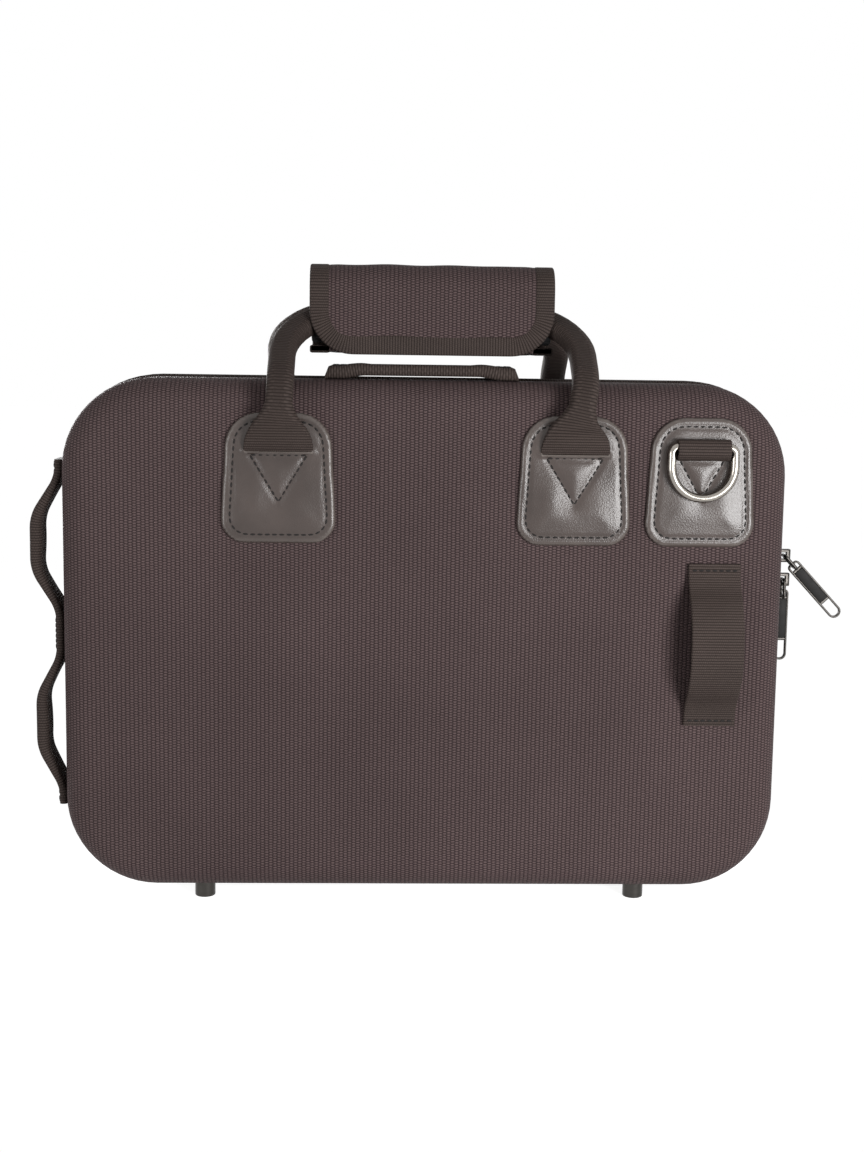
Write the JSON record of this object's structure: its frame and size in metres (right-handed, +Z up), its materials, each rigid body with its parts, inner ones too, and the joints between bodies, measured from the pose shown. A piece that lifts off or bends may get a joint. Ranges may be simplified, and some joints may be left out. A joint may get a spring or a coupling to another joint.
{
  "type": "oboe case",
  "caption": "Rounded hard-shell instrument case in woven cloth: zip round the sides, padded top handle, side grab handle, strap rings, leather patches and short metal feet.",
  "frame": {"origin": "on the floor, midway between the four feet", "axes": "+X to the right seen from the lid's face, -Y the way the lid faces, +Z up"},
  "size_m": [0.4014, 0.1256, 0.3098],
  "materials": {
    "woven_cloth": "coarse woven cloth, dark brown",
    "webbing": "ribbed webbing, dark olive grey",
    "leather_patch": "glossy leatherette, dark brown grey",
    "shell_board": "moulded board, black",
    "plush": "short plush, black",
    "wrap_foam": "soft foam, dark grey",
    "gunmetal": "polished gunmetal",
    "nickel": "bright nickel",
    "zinc_steel": "zinc-plated steel",
    "zip_tape": "woven zip tape, black",
    "zip_teeth": "moulded nylon, black",
    "pull_grip": "moulded plastic, black",
    "hook_and_loop": "hook and loop tape, black"
  },
  "bodies": {
    "rear_half": {"rear_cover": "woven_cloth", "rear_shell": "shell_board", "rear_lining": "plush", "rear_rim_binding": "webbing", "rear_zip_tape": "zip_tape", "rear_zip_chain": "zip_teeth", "rear_feet": "gunmetal", "rear_foot_washers": "zinc_steel", "rear_foot_screws": "zinc_steel", "rear_left_patch": "leather_patch", "rear_right_patch": "leather_patch", "rear_ring_patch": "leather_patch", "rear_strap_tails": "webbing", "rear_ring_loop": "webbing", "instrument_bed": "plush", "hinge_strip": "webbing", "zip_end_stops": "gunmetal"},
    "lid": {"front_cover": "woven_cloth", "front_shell": "shell_board", "front_lining": "plush", "front_rim_binding": "webbing", "front_zip_tape": "zip_tape", "front_zip_chain": "zip_teeth", "front_feet": "gunmetal", "front_foot_washers": "zinc_steel", "front_foot_screws": "zinc_steel", "front_left_patch": "leather_patch", "front_right_patch": "leather_patch", "front_ring_patch": "leather_patch", "front_strap_tails": "webbing", "front_ring_loop": "webbing", "lid_pad": "plush", "strap_keeper": "webbing", "side_handle": "webbing", "top_strap": "webbing"},
    "front_handle": {"front_handle_strap": "webbing"},
    "rear_handle": {"rear_handle_strap": "webbing", "handle_wrap": "woven_cloth", "wrap_binding": "webbing", "wrap_foam": "wrap_foam", "wrap_loop_tape": "hook_and_loop"},
    "flap": {"wrap_flap": "woven_cloth", "flap_binding": "webbing", "wrap_hook_tape": "hook_and_loop"},
    "front_ring": {"front_ring": "nickel"},
    "rear_ring": {"rear_ring": "nickel"},
    "upper_slider": {"upper_slider": "gunmetal"},
    "lower_slider": {"lower_slider": "gunmetal"},
    "upper_pull": {"upper_pull": "gunmetal", "upper_pull_link": "gunmetal", "upper_pull_grip": "pull_grip"},
    "lower_pull": {"lower_pull": "gunmetal", "lower_pull_link": "gunmetal", "lower_pull_grip": "pull_grip"}
  },
  "joints": [
    {"name": "lid_hinge", "type": "hinge", "parent": "rear_half", "child": "lid", "pos_m": [0, -0.009, 0.0079], "axis": [1, 0, 0], "range_deg": [0, 135], "deforming": ["hinge_strip"]},
    {"name": "front_handle_swing", "type": "hinge", "parent": "lid", "child": "front_handle", "pos_m": [0, -0.0515, 0.2205], "axis": [1, 0, 0], "range_deg": [0, 150], "deforming": ["handle_wrap", "wrap_binding", "wrap_foam", "wrap_loop_tape", "wrap_flap", "flap_binding", "wrap_hook_tape"]},
    {"name": "rear_handle_swing", "type": "hinge", "parent": "rear_half", "child": "rear_handle", "pos_m": [0, 0.0515, 0.2205], "axis": [-1, 0, 0], "range_deg": [0, 150]},
    {"name": "wrap_flap_lift", "type": "hinge", "parent": "rear_handle", "child": "flap", "pos_m": [0.0024, -0.021, 0.2975], "axis": [-1, 0, 0], "range_deg": [0, 150]},
    {"name": "front_ring_swing", "type": "hinge", "parent": "lid", "child": "front_ring", "pos_m": [0.1295, -0.0538, 0.226], "axis": [-1, 0, 0], "range_deg": [0, 170]},
    {"name": "rear_ring_swing", "type": "hinge", "parent": "rear_half", "child": "rear_ring", "pos_m": [-0.1295, 0.0538, 0.226], "axis": [1, 0, 0], "range_deg": [0, 170]},
    {"name": "upper_slide", "type": "slide", "parent": "rear_half", "child": "upper_slider", "axis": [0, 0, 1], "range_m": [0, 0.03]},
    {"name": "lower_slide", "type": "slide", "parent": "rear_half", "child": "lower_slider", "axis": [0, 0, -1], "range_m": [0, 0.09]},
    {"name": "upper_pull_swing", "type": "hinge", "parent": "upper_slider", "child": "upper_pull", "pos_m": [0.1805, -0.009, 0.17], "axis": [0, -1, 0], "range_deg": [0, 129]},
    {"name": "lower_pull_swing", "type": "hinge", "parent": "lower_slider", "child": "lower_pull", "pos_m": [0.1805, -0.009, 0.158], "axis": [0, -1, 0], "range_deg": [0, 65]}
  ]
}
